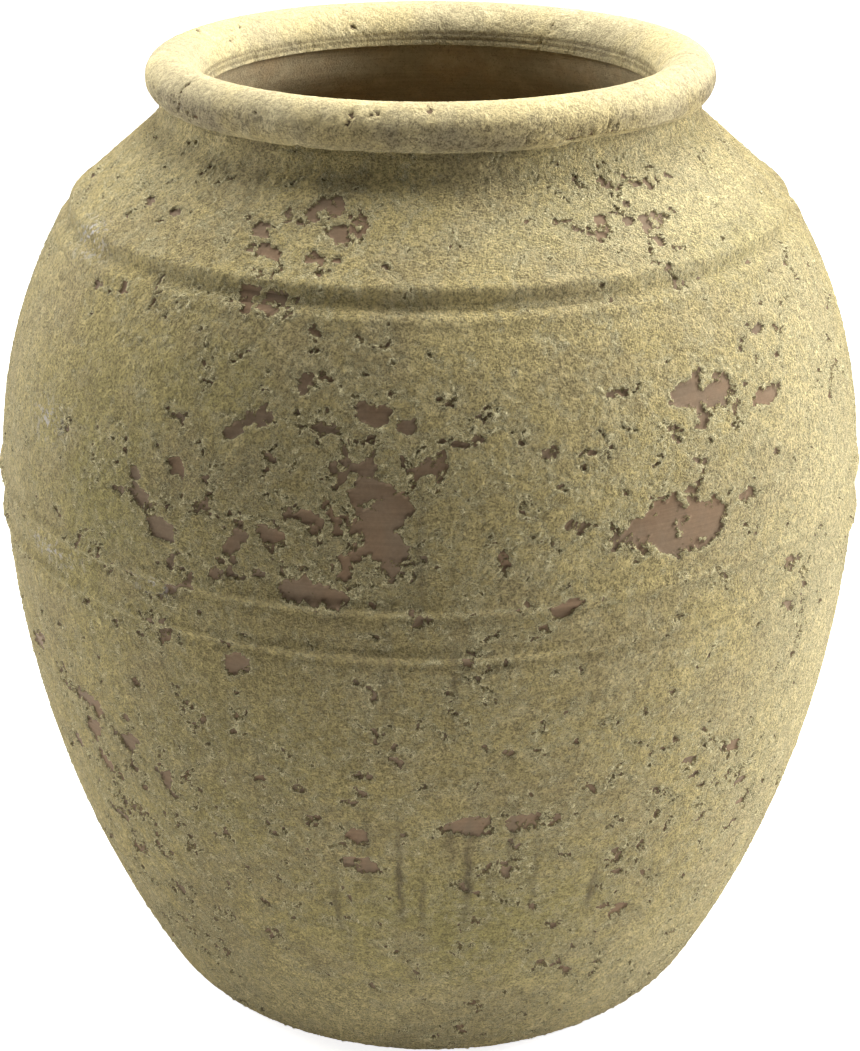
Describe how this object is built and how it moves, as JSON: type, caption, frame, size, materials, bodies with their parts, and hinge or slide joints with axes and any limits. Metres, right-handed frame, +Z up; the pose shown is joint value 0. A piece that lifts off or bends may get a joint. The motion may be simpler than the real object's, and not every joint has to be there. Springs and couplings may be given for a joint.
{
  "type": "storage jar",
  "caption": "Large round-bellied earthenware jar with a wide rolled rim, a flat foot, turned lines at belly and shoulder, and a flaking lime coat.",
  "frame": {"origin": "centre of the foot, on the ground", "axes": "+Z up along the jar's axis of turning; +X to the right and -Y towards the front of the pictured side"},
  "size_m": [0.4026, 0.4026, 0.446],
  "materials": {
    "clay": "matte",
    "inner_clay": "matte",
    "lime_coat": "matte",
    "rim_wash": "matte"
  },
  "bodies": {
    "root": {"base_slab": "clay", "lower_wall": "clay", "belly_ring": "clay", "upper_wall": "clay", "shoulder_ring": "clay", "shoulder_wall": "clay", "neck_collar": "inner_clay", "rim_roll": "clay", "body_coat": "lime_coat", "rim_coat": "rim_wash"}
  },
  "joints": []
}
